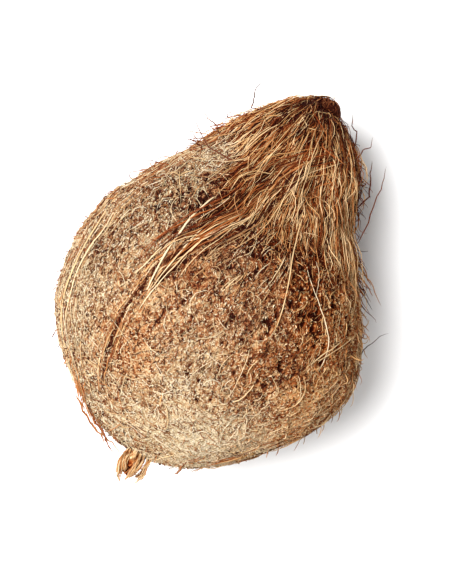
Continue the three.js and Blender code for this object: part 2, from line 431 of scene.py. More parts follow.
def new_object(name, data):
    made = bpy.data.objects.new(name, data)
    bpy.context.scene.collection.objects.link(made)
    return made


def new_piece(name, mesh, material):
    """Adds a piece of the nut with its material, and says what it rides on."""
    piece = new_object(name, mesh)
    mesh.materials.append(material)
    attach(piece, "root")
    return piece


def ball_mesh(name, columns, rows):
    """A unit ball, with each vertex's share of the way from the top pole and angle round it."""
    ball = bmesh.new()
    bmesh.ops.create_uvsphere(ball, u_segments=columns, v_segments=rows, radius=1)
    mesh = bpy.data.meshes.new(name)
    ball.to_mesh(mesh)
    ball.free()
    mesh.shade_smooth()
    unit = np.empty(3 * len(mesh.vertices))
    mesh.vertices.foreach_get("co", unit)
    unit = unit.reshape(-1, 3)
    share = np.arccos(np.clip(unit[:, 2], -1, 1)) / math.pi
    return mesh, share, np.arctan2(-unit[:, 1], unit[:, 0])


def matted_piece(mesh, points, tone, greyness):
    """A ball as a piece of matted coir, once its vertices have moved to points of the nut."""
    mesh.vertices.foreach_set("co", place(points).ravel())
    for name, values in (("tone", tone), ("greyness", greyness)):
        layer = mesh.attributes.new(name, "FLOAT", "POINT")
        layer.data.foreach_set("value", np.full(len(points), values, dtype=np.float32))
    return new_piece(mesh.name, mesh, matted_coir)


def coir_material(name, roughness, shine):
    """A material of coir, and the node that turns its tone and greyness into its colour."""
    material = bpy.data.materials.new(name)
    material.use_nodes = True
    surface = material.node_tree.nodes["Principled BSDF"]
    surface.inputs["Roughness"].default_value = roughness
    surface.inputs["Specular IOR Level"].default_value = shine
    colour = material.node_tree.nodes.new("ShaderNodeGroup")
    colour.node_tree = colour_group
    material.node_tree.links.new(colour.outputs["Colour"], surface.inputs["Base Color"])
    return material, colour


def skin_material():
    """Matted coir: pitted tone from noise at three sizes, and a rough fibrous surface."""
    material, colour = coir_material("matted_coir", roughness=0.95, shine=0.03)
    nodes = material.node_tree.nodes
    links = material.node_tree.links
    places = nodes.new("ShaderNodeTexCoord")
    tone = nodes.new("ShaderNodeAttribute")
    tone.attribute_name = "tone"
    greyness = nodes.new("ShaderNodeAttribute")
    greyness.attribute_name = "greyness"
    total = tone.outputs["Fac"]
    finest = None
    for scale, strength in SKIN_GRAIN:
        noise_node = nodes.new("ShaderNodeTexNoise")
        noise_node.inputs["Scale"].default_value = scale
        noise_node.inputs["Detail"].default_value = 3
        noise_node.inputs["Distortion"].default_value = 0.6
        links.new(places.outputs["Object"], noise_node.inputs["Vector"])
        shift = nodes.new("ShaderNodeMath")
        shift.operation = "MULTIPLY_ADD"
        shift.inputs[1].default_value = 2 * strength
        shift.inputs[2].default_value = -strength
        links.new(noise_node.outputs["Fac"], shift.inputs[0])
        add = nodes.new("ShaderNodeMath")
        links.new(total, add.inputs[0])
        links.new(shift.outputs[0], add.inputs[1])
        total = add.outputs[0]
        finest = finest or noise_node.outputs["Fac"]
    links.new(total, colour.inputs["Tone"])
    links.new(greyness.outputs["Fac"], colour.inputs["Greyness"])
    bump = nodes.new("ShaderNodeBump")
    bump.inputs["Strength"].default_value = 0.9
    bump.inputs["Distance"].default_value = BUMP_DEPTH
    links.new(finest, bump.inputs["Height"])
    links.new(bump.outputs["Normal"], nodes["Principled BSDF"].inputs["Normal"])
    return material


def felted_skin():
    mesh, share, angle = ball_mesh("felted_skin", SKIN_COLUMNS, SKIN_ROWS)
    height = relief(share, angle)
    tone, greyness = colouring(share, angle)
    tone = tone + SKIN_SHADE + TUFT_SHADE * combed(share, angle) + RELIEF_PAINTED_LIGHT_AND_SHADE * height / MM
    return matted_piece(mesh, nut_point(share, angle, height), tone, greyness)


matted_coir = skin_material()
skin = felted_skin()
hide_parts("coconut")

# ---- Felt: the short fibres of the belly ----------------------------------------------------
# Tens of thousands of broken fibres, 1 to 5 mm long, matted flat over the belly and between
# the locks. Each is a thin three-sided strand, kinked once, whose ends are tucked in the skin.
FELT_BATCHES = 3
FELT_PER_BATCH = 26000
FELT_LENGTHS = (1.2 * MM, 3.4 * MM)
FELT_RADII = (0.11 * MM, 0.22 * MM)
FELT_BEND = 1.6
FELT_TONE = (0.13, 0.2)  # the mean and the spread of the fibres' tones, over the skin's
DARK_FIBRES = 0.26  # share of the felt's fibres that are nearly black: partly dark specks, partly painted shade for the crevices between fibres
DARK_TONE = -0.72
DARK_LONGER = 0.35
DARK_THICKER = 0.4
DARK_LIFT = 0.3
BARE_BASE = (22, 4)  # distances from the base between which the felt thins out
BARE_GROOVE = (0.6, 1.2)  # depths of a groove between which the felt ends
POLE_MARGIN = 0.003  # no strand runs nearer than this share of the outline to a pole
PALETTE_WIDTH = 0.004  # half the width that a strand takes on the palette
STRAND_CLEARANCE = 0.35 * MM

random = np.random.default_rng(seed=42)


def strand_profile():
    """The three-sided section that every strand is drawn with."""
    curve = bpy.data.curves.new("strand_section", "CURVE")
    curve.dimensions = "2D"
    section = curve.splines.new("POLY")
    section.points.add(2)
    for turn, point in enumerate(section.points):
        angle = -2 * math.pi * turn / 3
        point.co = (math.cos(angle), math.sin(angle), 0, 1)
    section.use_cyclic_u = True
    return new_object("strand_section", curve)


section_object = strand_profile()


def strand_piece(name, points, radii, tone, greyness):
    """Strands as one piece, each closed to a point at both ends.

    points is (strand, step, 3) and radii is (strand, step). So are the tone and the greyness,
    except where one value serves a whole strand or all of them.
    """
    curve = bpy.data.curves.new(name, "CURVE")
    curve.dimensions = "3D"
    curve.bevel_mode = "OBJECT"
    curve.bevel_object = section_object
    count, steps = radii.shape
    placed = np.concatenate([points, np.ones((count, steps, 1))], axis=2).astype(np.float32)
    widths = radii.astype(np.float32)
    for strand in range(count):
        spline = curve.splines.new("POLY")
        spline.points.add(steps - 1)
        spline.points.foreach_set("co", placed[strand].ravel())
        spline.points.foreach_set("radius", widths[strand])
    drawn = new_object(name, curve)
    scene_state = bpy.context.evaluated_depsgraph_get()
    mesh = bpy.data.meshes.new_from_object(drawn.evaluated_get(scene_state))
    bpy.data.objects.remove(drawn)
    bpy.data.curves.remove(curve)
    mesh.materials.clear()
    mesh.shade_smooth()
    across = np.tile([-PALETTE_WIDTH, 0, PALETTE_WIDTH], count * steps)
    ends = np.linspace(0, PALETTE_WIDTH, steps)
    tones = np.clip(np.broadcast_to(tone, radii.shape) + ends, 0.01, 0.99)
    greys = np.clip(np.broadcast_to(greyness, radii.shape), 0.02, 0.98)
    palette = np.stack([np.repeat(tones.ravel(), 3), np.repeat(greys.ravel(), 3) + across], axis=1)
    corners = np.empty(len(mesh.loops), dtype=np.int64)
    mesh.loops.foreach_get("vertex_index", corners)
    layer = mesh.uv_layers.get("OFBake") or mesh.uv_layers.new(name="OFBake")
    layer.uv.foreach_set("vector", palette[corners].astype(np.float32).ravel())
    for other in [other.name for other in mesh.uv_layers if other.name != "OFBake"]:
        mesh.uv_layers.remove(mesh.uv_layers[other])
    welded = bmesh.new()
    welded.from_mesh(mesh)
    bmesh.ops.remove_doubles(welded, verts=welded.verts, dist=1e-8)
    welded.to_mesh(mesh)
    welded.free()
    new_piece(name, mesh, fibre)


def fibre_material():
    """A coir fibre: its colour comes from its place on the palette, darker to lighter."""
    material, colour = coir_material("coir_fibre", roughness=0.8, shine=0.06)
    nodes = material.node_tree.nodes
    links = material.node_tree.links
    palette = nodes.new("ShaderNodeUVMap")
    palette.uv_map = "OFBake"
    parts = nodes.new("ShaderNodeSeparateXYZ")
    links.new(palette.outputs["UV"], parts.inputs["Vector"])
    links.new(parts.outputs["X"], colour.inputs["Tone"])
    links.new(parts.outputs["Y"], colour.inputs["Greyness"])
    return material


fibre = fibre_material()


def evened(heights):
    """The heights along each strand, evened out as a stiff straw evens out the ground below it."""
    widened = np.pad(heights, ((0, 0), (2, 2)), mode="edge")
    steps = heights.shape[1]
    return sum(widened[:, start:start + steps] for start in range(5)) / 5


def lay_strands(name, shares, angles, lifts, radii, tone, greyness, stiff=False):
    """A piece of strands, each given step by step by its place on the skin and its lift off it."""
    ground = relief(shares, angles)
    if stiff:
        ground = evened(ground)
    points = place(nut_point(shares, angles, ground + lifts), STRAND_CLEARANCE)
    strand_piece(name, points, radii, tone, greyness)


def scatter(count, weight):
    """Places spread evenly over the skin, thinned where the weight of a place is under 1."""
    ticks = np.linspace(0, 1, 2001)
    areas = np.cumsum(radius_at(ticks))
    shares = np.empty(0)
    angles = np.empty(0)
    while len(shares) < count:
        share = np.interp(random.random(count) * areas[-1], areas, ticks)
        angle = random.uniform(-math.pi, math.pi, count)
        kept = random.random(count) < weight(share, angle)
        shares = np.concatenate([shares, share[kept]])
        angles = np.concatenate([angles, angle[kept]])
    return shares[:count], angles[:count]


def turn_by(sideways, share, least=0):
    """The turn round the nut of a step sideways, on a radius of no less than least mm."""
    return sideways / np.maximum(radius_at(share), least * MM)


def path(share, angle, heading, bend, lengths, steps):
    """Shares and angles of points along each strand, from its heading off the nut's axis."""
    at = np.linspace(-0.5, 0.5, steps)
    turned = heading[:, None] + bend[:, None] * at
    forward = lengths[:, None] * at
    shares = share[:, None] + forward * np.cos(turned) / outline_length
    angles = angle[:, None] + turn_by(forward * np.sin(turned), share[:, None], 7)
    return np.clip(shares, POLE_MARGIN, 1 - POLE_MARGIN), angles


def felt_share(share, angle):
    """How much of the felt's usual count grows at a place."""
    bare = smooth_step(along_at(share) / MM, *BARE_BASE)
    clear = 1 - smooth_step(groove(share, angle) / MM, *BARE_GROOVE)
    return (1 - 0.8 * combed(share, angle)) * clear * (1 - 0.4 * bare)


def felt_batch(number):
    count = FELT_PER_BATCH
    share, angle = scatter(count, felt_share)
    wear = np.clip(weather(share, angle)[2], -0.7, 1)
    dark = random.random(count) < DARK_FIBRES * (1.2 + 1.4 * wear)
    heading = random.normal(0, 1, count) * (1 - 0.5 * np.maximum(combed(share, angle), dark))
    bend = random.normal(0, FELT_BEND, count)
    lengths = random.uniform(*FELT_LENGTHS, count) * (1 + DARK_LONGER * dark)
    shares, angles = path(share, angle, heading, bend, lengths, 3)
    height = random.gamma(2, 0.14, count) + DARK_LIFT * dark
    root = random.uniform(-0.3, 0.05, count)
    lifts = np.stack([root, height, random.uniform(-0.3, 0.1, count)], axis=1) * MM
    radii = random.uniform(*FELT_RADII, count) * (1 + DARK_THICKER * dark)
    tone, greyness = colouring(share, angle)
    tone = tone + random.normal(*FELT_TONE, count) * (1 + 0.6 * np.maximum(wear, 0))
    # Painted light: the higher a fibre stands, the lighter it is.
    tone = tone + DARK_TONE * dark + 0.15 * (height - 0.3)
    greyness = greyness + random.normal(0, 0.15, count)
    radii = radii[:, None] * np.array([0, 1, 0])
    lay_strands(f"felt_{number}", shares, angles, lifts, radii, tone[:, None], greyness[:, None])


for number in range(1, FELT_BATCHES + 1):
    felt_batch(number)

# ---- Loose fibres on the belly ----------------------------------------------------------------
# Longer, thinner and paler fibres, 5 to 18 mm, that lie curled over the felt here and there.
# Others lie combed side by side: down the flanks, across the base, and below the tuft.
LOOSE_FIBRES = 1000
FIBRE_STEPS = 6
FIBRE_TAPER = np.array([0, 0.9, 1, 1, 0.7, 0])
LOOSE_ARCH = np.array([-0.3, 0.8, 1, 1, 0.8, 0])  # lifts along a fibre, from its root
COMBED_ARCH = np.array([-0.5, 0.7, 1, 1, 0.8, 0])
COMBED_FIBRES = [  # where, from and to; how many, lengths; heading, its spread; tone, greyness
    ("left flank", (16, 110), (56, 104), 420, (7, 26), 0, 0.14, 0.58, 0.8),
    ("upper flank", (66, 120), (54, 100), 300, (9, 30), 4, 0.1, 0.58, 0.6),
    ("right flank", (16, 96), (-112, -70), 260, (7, 24), 0, 0.16, 0.44, 0),
    ("base", (3, 24), (-100, 120), 380, (4, 13), 90, 0.3, 0.6, 0.6),
    ("below the tuft", (56, 88), (-66, -14), 60, (8, 20), 0, 0.2, 0.62, 0.2),
    ("below the band", (62, 92), (-20, 14), 70, (8, 22), 17, 0.14, 0.7, 0.4),
    ("underside", (20, 96), (112, 248), 260, (7, 24), 0, 0.3, 0.5, 0.4),
]


def loose_fibres():
    count = LOOSE_FIBRES
    share, angle = scatter(count, felt_share)
    heading = random.normal(0, 0.9, count)
    lengths = 5 * MM + random.gamma(1.6, 2.4 * MM, count)
    bend = random.normal(0, 1.3, count)
    shares, angles = path(share, angle, heading, bend, lengths, FIBRE_STEPS)
    height = random.uniform(0.5, 1.3, (count, 1))
    lifts = MM * (height * LOOSE_ARCH + random.normal(0, 0.15, (count, FIBRE_STEPS)))
    radii = random.uniform(0.09, 0.17, (count, 1)) * MM * FIBRE_TAPER
    tone, greyness = colouring(share, angle)
    tone = np.maximum(tone, 0.5) + random.normal(0.12, 0.12, count)
    lay_strands("loose_fibres", shares, angles, lifts, radii, tone[:, None], greyness[:, None])


def combed_fibres():
    rows = []
    for _, alongs, degrees, count, lengths, heading, spread, tone, greyness in COMBED_FIBRES:
        for _ in range(count):
            rows.append((
                random.uniform(*alongs), random.uniform(*degrees), random.uniform(*lengths),
                random.normal(math.radians(heading), spread), random.normal(tone, 0.26),
                random.normal(greyness, 0.2),
            ))
    along, degrees, length, heading, tone, greyness = np.array(rows).T
    count = len(rows)
    share = share_at(along * MM)
    bend = random.normal(0, 0.4, count)
    shares, angles = path(share, np.radians(degrees), heading, bend, length * MM, FIBRE_STEPS)
    height = random.uniform(0.2, 0.8, (count, 1))
    lifts = MM * (height * COMBED_ARCH + random.normal(0, 0.08, (count, FIBRE_STEPS)))
    radii = random.uniform(0.1, 0.19, (count, 1)) * MM * FIBRE_TAPER
    lay_strands("combed_fibres", shares, angles, lifts, radii, tone[:, None], greyness[:, None])


loose_fibres()
combed_fibres()

# ---- The tuft -------------------------------------------------------------------------------
# Long fibre left over the stalk end, combed down from the tip over the shoulder. A brown layer
# lies under a looser and paler one, and is painted darker as its shade. A band of it sweeps
# round from one side of the tip across the tuft and into the upper seam.
TUFT_LAYERS = [  # name, strands, points of each, lengths, radii and mean height in mm, tone; the under layer's lower tone is painted shade
    ("tuft_under", 5000, 6, (6, 18), (0.12, 0.23), 0.6, -0.16),
    ("tuft_over", 4200, 6, (8, 24), (0.09, 0.19), 1.1, 0.09),
]
TUFT_OVERHANG = 8  # how far the longest strands hang over the tuft's edge, in mm
RAGGED_ENDS = (1.3, 7)  # shape and scale of how far the others fall short of that
FIRST_END = 0.08  # no strand ends before this share of the outline
LEAST_LENGTH = 6 * MM
TIP_GAP = 0.004  # the least share of the outline between the tip and a strand's root
CAP_REACH = 0.03  # what the scar's cap adds to it at random, and again on its own side
TUFT_SUNK = 0.5  # depth of a strand's root
LOOSE_END = 0.92  # share of its arch at which a strand ends, a little off the skin
TUFT_TONE_SPREAD = 0.42
LONG_STRANDS = 0.05  # share of the upper layer's strands that are long and pale
LONG_TONE = 0.2
CROSSING_STRANDS = 0.2  # share of the strands that wander over the others
WANDER = 1.3 * MM
CROSSING_WANDER = 6 * MM
KINK = 0.14 * MM
LOCKS_ROUND = 44
LOCK_GATHER = 0.7  # how far the strands of a lock draw together
LOCK_DRIFT = 9  # how far the locks turn along the whole outline, in radians
LOCK_TONE = 0.12
CAP_LINE = math.radians(-40)  # where the scar's cap reaches furthest over the tuft
CAP_WIDTH = 50  # in degrees
BAND = [
    (138, -50), (133, -31), (121, -4), (110, 1), (104, 4), (92, 7),
    (79, 15), (70, 20), (58, 24),
]
BAND_STRANDS = 125
BAND_STEPS = 9
BAND_HALF_WIDTHS = (3, 6)  # at its two ends


def wander(count, steps, size):
    """Slow sideways drift along each strand, from none at its root."""
    drift = random.normal(0, 1, (count, 3)) * size
    at = np.linspace(0, 1, steps)
    waves = np.stack([at, np.sin(math.pi * at) * 0.5, np.sin(2 * math.pi * at) * 0.3])
    return drift @ waves


def taper(steps):
    """The thickness along a long strand: full soon after its root and thin at its free end."""
    return np.interp(np.linspace(0, 1, steps), [0, 0.15, 0.5, 0.85, 1], [0, 1, 1, 0.6, 0])


def strand_widths(low, high, count, steps):
    """The radii along each strand, whose thickest part is drawn between two bounds in mm."""
    return random.uniform(low, high, (count, 1)) * MM * taper(steps)


def arch(height, sunk, at, power):
    """Lifts along a strand, from its sunk root up and down again, steeper for a lower power."""
    return (height + sunk) * np.sin(math.pi * np.clip(at, 0, 1)) ** power - sunk


def points_on(curve, at):
    """Each coordinate of a curve at these shares of the way along it."""
    ticks = np.linspace(0, 1, len(curve))
    return np.array([np.interp(at, ticks, coordinate) for coordinate in curve.T])


def tuft_layer(name, count, steps, lengths, radii, height, shade):
    share, angle = scatter(count, lambda s, a: combed(s, a) ** 2)
    line = line_at(share, angle)
    line = line + LOCK_GATHER * np.sin(LOCKS_ROUND * line + LOCK_DRIFT * share) / LOCKS_ROUND
    long = random.random(count) < LONG_STRANDS * (height > 1)
    half = random.uniform(*lengths, count) * (1 + long) * MM / outline_length / 2
    end = share_at((tuft_edge(angle) + TUFT_OVERHANG - random.gamma(*RAGGED_ENDS, count)) * MM)
    end = np.maximum(np.minimum(share + half, end), FIRST_END)
    root = np.minimum(share - half, end - LEAST_LENGTH / outline_length)
    by_cap = np.exp(-((half_turn(np.degrees(line - CAP_LINE)) / CAP_WIDTH) ** 2))
    root = np.maximum(root, TIP_GAP + CAP_REACH * (random.random(count) + by_cap))
    at = np.linspace(0, 1, steps)
    shares = root[:, None] + (end - root)[:, None] * at
    crossing = random.random(count) < CROSSING_STRANDS
    size = np.where(crossing, CROSSING_WANDER, WANDER)[:, None]
    beside = wander(count, steps, size) + random.normal(0, KINK, (count, steps))
    angles = line[:, None] + fan_turn(shares, line[:, None]) + turn_by(beside, shares, 9)
    heights = random.gamma(1.8, height / 1.8, (count, 1))
    lifts = arch(heights, TUFT_SUNK, at * LOOSE_END, 0.6)
    lifts = lifts + random.normal(0, 0.2, (count, steps)) * at
    widths = strand_widths(*radii, count, steps)
    tone, greyness = colouring(shares, angles)
    # Painted light: strands that arch higher are lighter.
    tone = tone + 0.08 * (heights - height) + random.normal(0, 0.09, (count, steps))
    tone = tone + (shade + LONG_TONE * long + random.normal(0, TUFT_TONE_SPREAD, count))[:, None]
    tone = tone + LOCK_TONE * np.cos(LOCKS_ROUND * line + LOCK_DRIFT * share)[:, None]
    greyness = greyness + random.normal(0, 0.15, (count, 1))
    lay_strands(name, shares, angles, lifts * MM, widths, tone, greyness)


def tuft_band():
    count = BAND_STRANDS
    start = random.uniform(0, 0.62, count)
    end = np.minimum(start + random.uniform(0.25, 0.6, count), 1)
    at = np.linspace(0, 1, BAND_STEPS)
    along = start[:, None] + (end - start)[:, None] * at
    distances, degrees = points_on(curve_through(BAND, 20), along)
    shares = share_at(distances * MM)
    spread = random.normal(0, MM, (count, 1)) * np.interp(along, [0, 1], BAND_HALF_WIDTHS)
    beside = spread + wander(count, BAND_STEPS, 2.5 * MM)
    beside = beside + random.normal(0, KINK, (count, BAND_STEPS))
    angles = np.radians(degrees) + turn_by(beside, shares, 14)
    lifts = arch(random.uniform(0.6, 2.2, (count, 1)), TUFT_SUNK, at * 0.95, 0.5)
    widths = strand_widths(0.12, 0.27, count, BAND_STEPS)
    tone = random.normal(0.38, 0.33, (count, 1))
    greyness = random.normal(0.1, 0.2, (count, 1))
    lay_strands("tuft_band", shares, angles, lifts * MM, widths, tone, greyness)


for layer in TUFT_LAYERS:
    tuft_layer(*layer)
tuft_band()

# ---- Seam fibres and straws -------------------------------------------------------------------
# Brown fibre lies beside each seam, and nearly black fibre along its bottom. Over the nut lie
# single stiff straws: thick pale strands of coir, torn from the husk and rooted in the felt.
SEAM_ROUTES = [
    ("upper", UPPER_SEAM + UPPER_SEAM_HEAD[2:]), ("hidden", HIDDEN_SEAM), ("lower", LOWER_SEAM),
]
SEAM_FIBRES = 110
SUNK_FIBRES = 90  # dark ones, along the bottom of each seam
SUNK_TONE = 0.04
SUNK_THINNER = 0.7
SUNK_SPREAD = 0.18 * MM
SEAM_SIDE = (1.5, 0.8)  # shape and scale of the others' distances from the seam
SEAM_STEPS = 7
STRAWS = [  # route as distances from the base and angles, radius in mm, tone, greyness
    ([(95, 20), (85, 22), (73, 23), (60, 24), (48, 24)], 0.42, 0.96, 0.55),
    ([(88, 15), (77, 18), (66, 20), (57, 22), (49, 23)], 0.28, 0.92, 0.55),
    ([(84, 9), (79, 13), (69, 17), (59, 20), (50, 22), (41, 24)], 0.26, 0.93, 0.55),
    ([(92, 5), (81, 8), (70, 13), (58, 16)], 0.19, 0.87, 0.35),
    ([(97, 1), (86, 2), (77, 8), (66, 11)], 0.17, 0.85, 0.35),
    ([(104, -22), (94, -22), (82, -21), (70, -22), (58, -24)], 0.36, 0.84, 0.45),
    ([(88, -29), (80, -34), (72, -42), (65, -49), (54, -52)], 0.23, 0.95, 0.75),
    ([(74, -61), (70, -56), (66, -52), (61, -48), (52, -44)], 0.24, 0.85, 0.45),
    ([(77, -68), (72, -61), (65, -53), (58, -48)], 0.20, 0.81, 0.45),
    ([(86, -18), (83, -17), (75, -15), (68, -13)], 0.22, 0.90, 0.55),
    ([(48, -19), (46, -20), (38, -23), (31, -26)], 0.16, 0.92, 0.55),
    ([(39, -30), (34, -30), (30, -29)], 0.30, 0.88, 0.45),
    ([(50, -43), (46, -48), (42, -52)], 0.14, 0.90, 0.65),
    ([(45, -32), (42, -39), (38, -41)], 0.14, 0.85, 0.55),
    ([(25, -20), (27, -24), (29, -28)], 0.16, 0.92, 0.65),
    ([(36, 36), (35, 32), (32, 26), (30, 20)], 0.14, 0.92, 0.65),
    ([(90, 28), (90, 27), (86, 20), (82, 19)], 0.14, 0.85, 0.85),
    ([(82, 63), (68, 57), (60, 58), (49, 60), (38, 63), (25, 73)], 0.24, 0.93, 0.55),
    ([(90, 74), (72, 66), (58, 64), (44, 66), (30, 74), (18, 84)], 0.27, 0.87, 0.35),
    ([(112, 96), (98, 84), (84, 77), (70, 74)], 0.22, 0.83, 0.45),
    ([(110, -53), (104, -63), (91, -66), (76, -61)], 0.19, 0.80, 0.25),
    ([(142, -16), (131, -12), (120, -15), (108, -17), (97, -22)], 0.19, 0.85, 0.35),
    ([(130, -34), (118, -37), (106, -40), (95, -46)], 0.18, 0.83, 0.25),
    ([(88, 128), (70, 122), (52, 127), (36, 138)], 0.29, 0.90, 0.55),
    ([(92, 160), (76, 152), (58, 150), (44, 158)], 0.24, 0.85, 0.35),
    ([(98, -140), (80, -131), (60, -128), (42, -134)], 0.30, 0.87, 0.45),
    ([(84, -88), (68, -92), (50, -86), (36, -78)], 0.26, 0.85, 0.45),
    ([(60, -160), (50, -150), (38, -148), (26, -160)], 0.22, 0.89, 0.65),
]
STRAW_STEPS = 16
RANDOM_STRAWS = 45
RANDOM_STRAW_GREYNESS = 0.5
STRAW_SUNK = 0.6
STRAW_TUFT_LIFT = 1.5  # a straw lies this much higher over the tuft
STRAW_TAPER = ([0, 0.06, 0.5, 0.92, 1], [0, 0.8, 1, 0.7, 0])


def seam_fibres(name, route):
    count = SEAM_FIBRES + SUNK_FIBRES
    sunk = (np.arange(count) < SUNK_FIBRES)[:, None]
    at = np.linspace(0, 1, SEAM_STEPS)
    start = random.uniform(0, 0.9, (count, 1))
    along = np.clip(start + random.uniform(0.06, 0.16, (count, 1)) * at, 0, 1)
    distances, degrees = points_on(curve_through(route[::-1], 20), along)
    shares = share_at(distances * MM)
    side = random.choice([-1, 1], (count, 1)) * (1 + random.gamma(*SEAM_SIDE, (count, 1))) * MM
    beside = np.where(sunk, random.normal(0, SUNK_SPREAD, (count, 1)), side)
    beside = beside + wander(count, SEAM_STEPS, 0.5 * MM)
    angles = np.radians(degrees) + turn_by(beside, shares)
    lifts = arch(random.uniform(0.2, 0.9, (count, 1)), 0.4, at, 0.5)
    widths = strand_widths(0.12, 0.24, count, SEAM_STEPS) * np.where(sunk, SUNK_THINNER, 1)
    tone = np.where(sunk, SUNK_TONE, random.normal(0.64, 0.2, (count, 1)))
    greyness = random.normal(0.4, 0.2, (count, 1))
    lay_strands(f"{name}_seam_fibres", shares, angles, lifts * MM, widths, tone, greyness)


def straws():
    at = np.linspace(0, 1, STRAW_STEPS)
    routes = []
    for route, radius, tone, greyness in STRAWS:
        along, degrees = points_on(curve_through(route, 12), at)
        routes.append((share_at(along * MM), np.radians(degrees), radius, tone, greyness))
    share, angle = scatter(RANDOM_STRAWS, lambda s, a: 1 - 0.6 * combed(s, a))
    heading = random.normal(0, 0.4, RANDOM_STRAWS)
    lengths = random.uniform(7, 20, RANDOM_STRAWS) * MM
    bend = random.normal(0, 0.5, RANDOM_STRAWS)
    shares, angles = path(share, angle, heading, bend, lengths, STRAW_STEPS)
    for shares_along, angles_along in zip(shares, angles):
        radius = random.uniform(0.13, 0.24)
        tone = random.normal(0.85, 0.1)
        routes.append((shares_along, angles_along, radius, tone, RANDOM_STRAW_GREYNESS))
    shares, angles, radii, tones, greys = (np.array(values) for values in zip(*routes))
    count = len(routes)
    radii = radii[:, None]
    lifts = arch(radii + random.uniform(1, 1.5, (count, 1)), STRAW_SUNK, at, 0.35)
    lifts = lifts + STRAW_TUFT_LIFT * combed(shares, angles)
    lifts = lifts + random.normal(0, 0.07, (count, STRAW_STEPS))
    widths = radii * MM * np.interp(at, *STRAW_TAPER)
    widths = widths * (1 + random.normal(0, 0.12, (count, STRAW_STEPS)))
    angles = angles + turn_by(random.normal(0, 0.06 * MM, angles.shape), shares)
    tone = tones[:, None] + random.normal(0, 0.04, (count, STRAW_STEPS))
    lay_strands("straws", shares, angles, lifts * MM, widths, tone, greys[:, None], stiff=True)


for name, route in SEAM_ROUTES:
    seam_fibres(name, route)
straws()

# ---- The nib ----------------------------------------------------------------------------------
# A torn end of husk at the base: stiff fibrous strips that stand in a loose ring round a low
# red-brown hollow, with thin fibres frayed off them. Beside it strips of husk peel off the base.
NIB_STRIPS = [  # the route of each from the base: (along, across, up); half width
    ([(3, 3.2, 0.8), (-2.5, 4.3, 1.0), (-6.5, 3.8, 0.8), (-9.6, 1, 0.2)], 0.4),
    ([(3, 2.6, 2.2), (-2.5, 2.9, 2.8), (-5.5, 2.2, 2.6), (-8, 0.7, 1.6)], 0.3),
    ([(2, -1.2, 3.4), (-2.5, -1.6, 3.8), (-6.5, -1.3, 3.2), (-11, -0.5, 1.6)], 0.55),
    ([(2, -2.8, 2.8), (-3, -3.3, 2.9), (-6, -2.6, 2.6), (-9.2, -1.4, 1.8)], 0.4),
    ([(3, -3.4, 1.6), (-3.2, -5.3, 1.2), (-6.5, -5.6, 0.8), (-10.3, -4.3, 0.2)], 0.45),
    ([(4, -5, 0.5), (0.5, -5.6, 1), (-2.5, -5, 1.2), (-4.5, -4, 1.4)], 1.1),
    ([(3, -2, -3.2), (-3, -2.4, -3.4), (-6, -1.6, -2.8), (-8.5, -0.8, -1.6)], 1.3),
    ([(3, 1.5, -3.6), (-3, 1.8, -3.8), (-6, 1.4, -3), (-8.2, 0.6, -1.8)], 1.3),
    ([(3, 3.6, -1.6), (-2.5, 3.9, -1.6), (-5.5, 3, -1.4), (-8, 1.4, -1)], 0.9),
    ([(3, -4.6, -1.4), (-3, -5.4, -1.4), (-6, -4.8, -1.4), (-8, -3.2, -1.2)], 1),
    ([(4, 0.8, 3.6), (1, 0.9, 4.6), (-1.2, 1, 4.8), (-3, 1.3, 4.4)], 0.8),
    ([(2, 3.4, 1.5), (-4, 4.6, 1.6), (-9, 3.2, 1.2), (-12.5, 0.4, 0.6)], 0.2),
]
STRIP_THICKNESS = 0.32 * MM
STRIP_COLUMNS = 16
STRIP_ROWS = 26
STRIP_TAPER = ([0, 0.04, 0.5, 0.85, 0.97, 1], [0, 0.9, 1, 0.7, 0.35, 0])
STRIP_RIDGES = np.array([3, 3, 2])  # bumps of noise across a strip and along it
STRIP_STREAKS = np.array([5, 5, 3])
STREAK_SEED = 40
NIB_TONE = 0.74
NIB_GREYNESS = 0.3
NIB_INSIDE_SHADE = -0.35
HOLLOW_PLACE = np.array([-1.6, 0.2, -0.8]) * MM
HOLLOW_SIZE = np.array([6.2, 3.9, 3.1]) * MM
HOLLOW_GRAIN = [(1 / 3, 0.14, 31), (1 / 8, 0.1, 32)]  # on a ball of radius 1
HOLLOW_MESH = (48, 32)  # columns and rows
HOLLOW_TONE = 0.5
HOLLOW_DEEP_SHADE = -0.55
FRAYS_PER_STRIP = 24
FRAY_STEPS = 6
PEELS = [  # strips that peel off the base: distance, angle and lift in mm, strand by strand
    [(27, 68, 0.2), (16.2, 72, 0.9), (12.3, 76, 1.5), (7.6, 83, 2.6), (3, 89, 4.2)],
    [(16, 72, 0.2), (9.9, 78, 1.1), (6, 84, 2.0), (2, 90, 3.4)],
    [(10, 87, 0.2), (5, 91, 0.9), (1.5, 95, 2.0)],
    [(22, -80, 0.2), (17.7, -77, 0.8), (13.1, -73, 1.4), (8, -70, 2.2)],
    [(20, 150, 0.2), (12, 158, 1.0), (6, 165, 2.0)],
    [(18, -140, 0.2), (11, -148, 1.0), (5, -152, 1.9)],
]
PEEL_STRANDS = 7
PEEL_STEPS = 8
PEEL_LIFT = 0.3 * MM


def strip_frame(route, at):
    """The middle line of a strip of the nib, its sideways directions and its outward ones."""
    curve = curve_through(np.array(route) * MM, 12)
    line, onward = (points_on(values, at).T for values in (curve, np.gradient(curve, axis=0)))
    side = np.cross(onward, line * np.array([0, 1, 1]))
    side /= np.linalg.norm(side, axis=1)[:, None]
    outward = np.cross(side, onward)
    return line, side, outward / np.linalg.norm(outward, axis=1)[:, None]


def ball_point(share, turn):
    """The point of a unit ball at a share of the way from its pole and at a turn round it."""
    out = np.sin(math.pi * share)
    return np.stack([np.cos(math.pi * share), out * np.sin(turn), out * np.cos(turn)], axis=-1)


